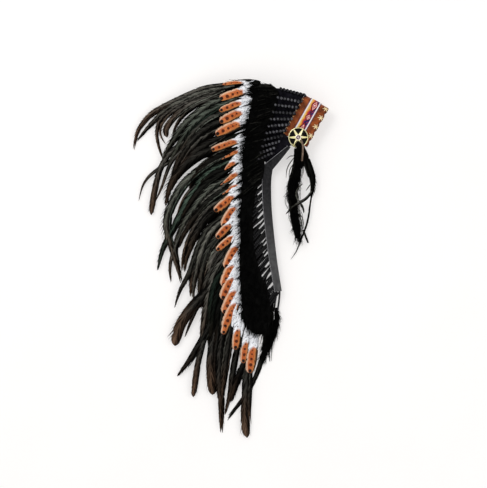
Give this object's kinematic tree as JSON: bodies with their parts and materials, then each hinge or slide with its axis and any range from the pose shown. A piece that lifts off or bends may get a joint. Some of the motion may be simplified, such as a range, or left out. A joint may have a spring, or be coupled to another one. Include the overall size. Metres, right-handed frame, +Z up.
{
  "type": "feathered headdress",
  "caption": "Feathered headdress folded in half and laid flat, with a leather band, pierced rosettes, a felt cap, and rows of spotted feathers and long plumes down a trailer.",
  "frame": {"origin": "middle of the footprint, on the surface it lies on", "axes": "+Z up from the surface, +Y from the tail towards the crown's top, +X from the plume tips towards the brow"},
  "size_m": [0.5248, 0.9476, 0.0593],
  "materials": {
    "leather": "smooth brown, slightly worn edges",
    "trim_weave": "woven trim with stepped diamonds in orange, red and navy between pale edges",
    "black_felt": "matt felt",
    "grey_felt": "matt felt, pressed smooth",
    "gold": "bright pale gold",
    "stud_metal": "polished dome",
    "thong_leather": "suede lace",
    "black_fur": "soft fur",
    "black_cord": "waxed cord",
    "bare_quill": "dyed quill",
    "dark_plume": "glossy dark feather with brown edges",
    "spotted_feather": "orange feather with black spots and a white downy base",
    "black_down": "marabou down"
  },
  "bodies": {
    "root": {"headband": "leather", "woven_trim": "trim_weave", "crown_cap": "black_felt", "right_rosette_backing": "black_felt", "left_rosette_backing": "black_felt", "trailer_strip": "grey_felt", "right_rim_binding": "grey_felt", "left_rim_binding": "grey_felt", "tail_tie_1": "black_cord", "tail_tie_2": "black_cord", "right_quill_wrap_01": "black_cord", "right_quill_wrap_02": "black_cord", "right_quill_wrap_03": "black_cord", "right_quill_wrap_04": "black_cord", "right_quill_wrap_05": "black_cord", "right_quill_wrap_06": "black_cord", "right_quill_wrap_07": "black_cord", "right_quill_wrap_08": "black_cord", "right_quill_wrap_09": "black_cord", "right_quill_wrap_10": "black_cord", "right_quill_wrap_11": "black_cord", "left_quill_wrap_01": "black_cord", "left_quill_wrap_02": "black_cord", "left_quill_wrap_03": "black_cord", "left_quill_wrap_04": "black_cord", "left_quill_wrap_05": "black_cord", "left_quill_wrap_06": "black_cord", "left_quill_wrap_07": "black_cord", "left_quill_wrap_08": "black_cord", "left_quill_wrap_09": "black_cord", "left_quill_wrap_10": "black_cord", "left_quill_wrap_11": "black_cord", "tail_drop": "black_down", "right_crown_fluff": "black_down", "right_trailer_fluff": "black_down", "left_crown_fluff": "black_down", "left_trailer_fluff": "black_down", "right_rosette": "gold", "left_rosette": "gold", "right_rosette_stud": "stud_metal", "left_rosette_stud": "stud_metal", "right_thong": "thong_leather", "left_thong": "thong_leather", "right_fur_drop": "black_fur", "left_fur_drop": "black_fur", "right_drop_plumes": "dark_plume", "right_crown_plumes": "dark_plume", "right_trailer_plumes": "dark_plume", "left_drop_plumes": "dark_plume", "left_crown_plumes": "dark_plume", "left_trailer_plumes": "dark_plume", "right_trailer_quills": "bare_quill", "left_trailer_quills": "bare_quill", "right_crown_spotted_feathers": "spotted_feather", "right_trailer_spotted_feathers": "spotted_feather", "left_crown_spotted_feathers": "spotted_feather", "left_trailer_spotted_feathers": "spotted_feather"}
  },
  "joints": []
}
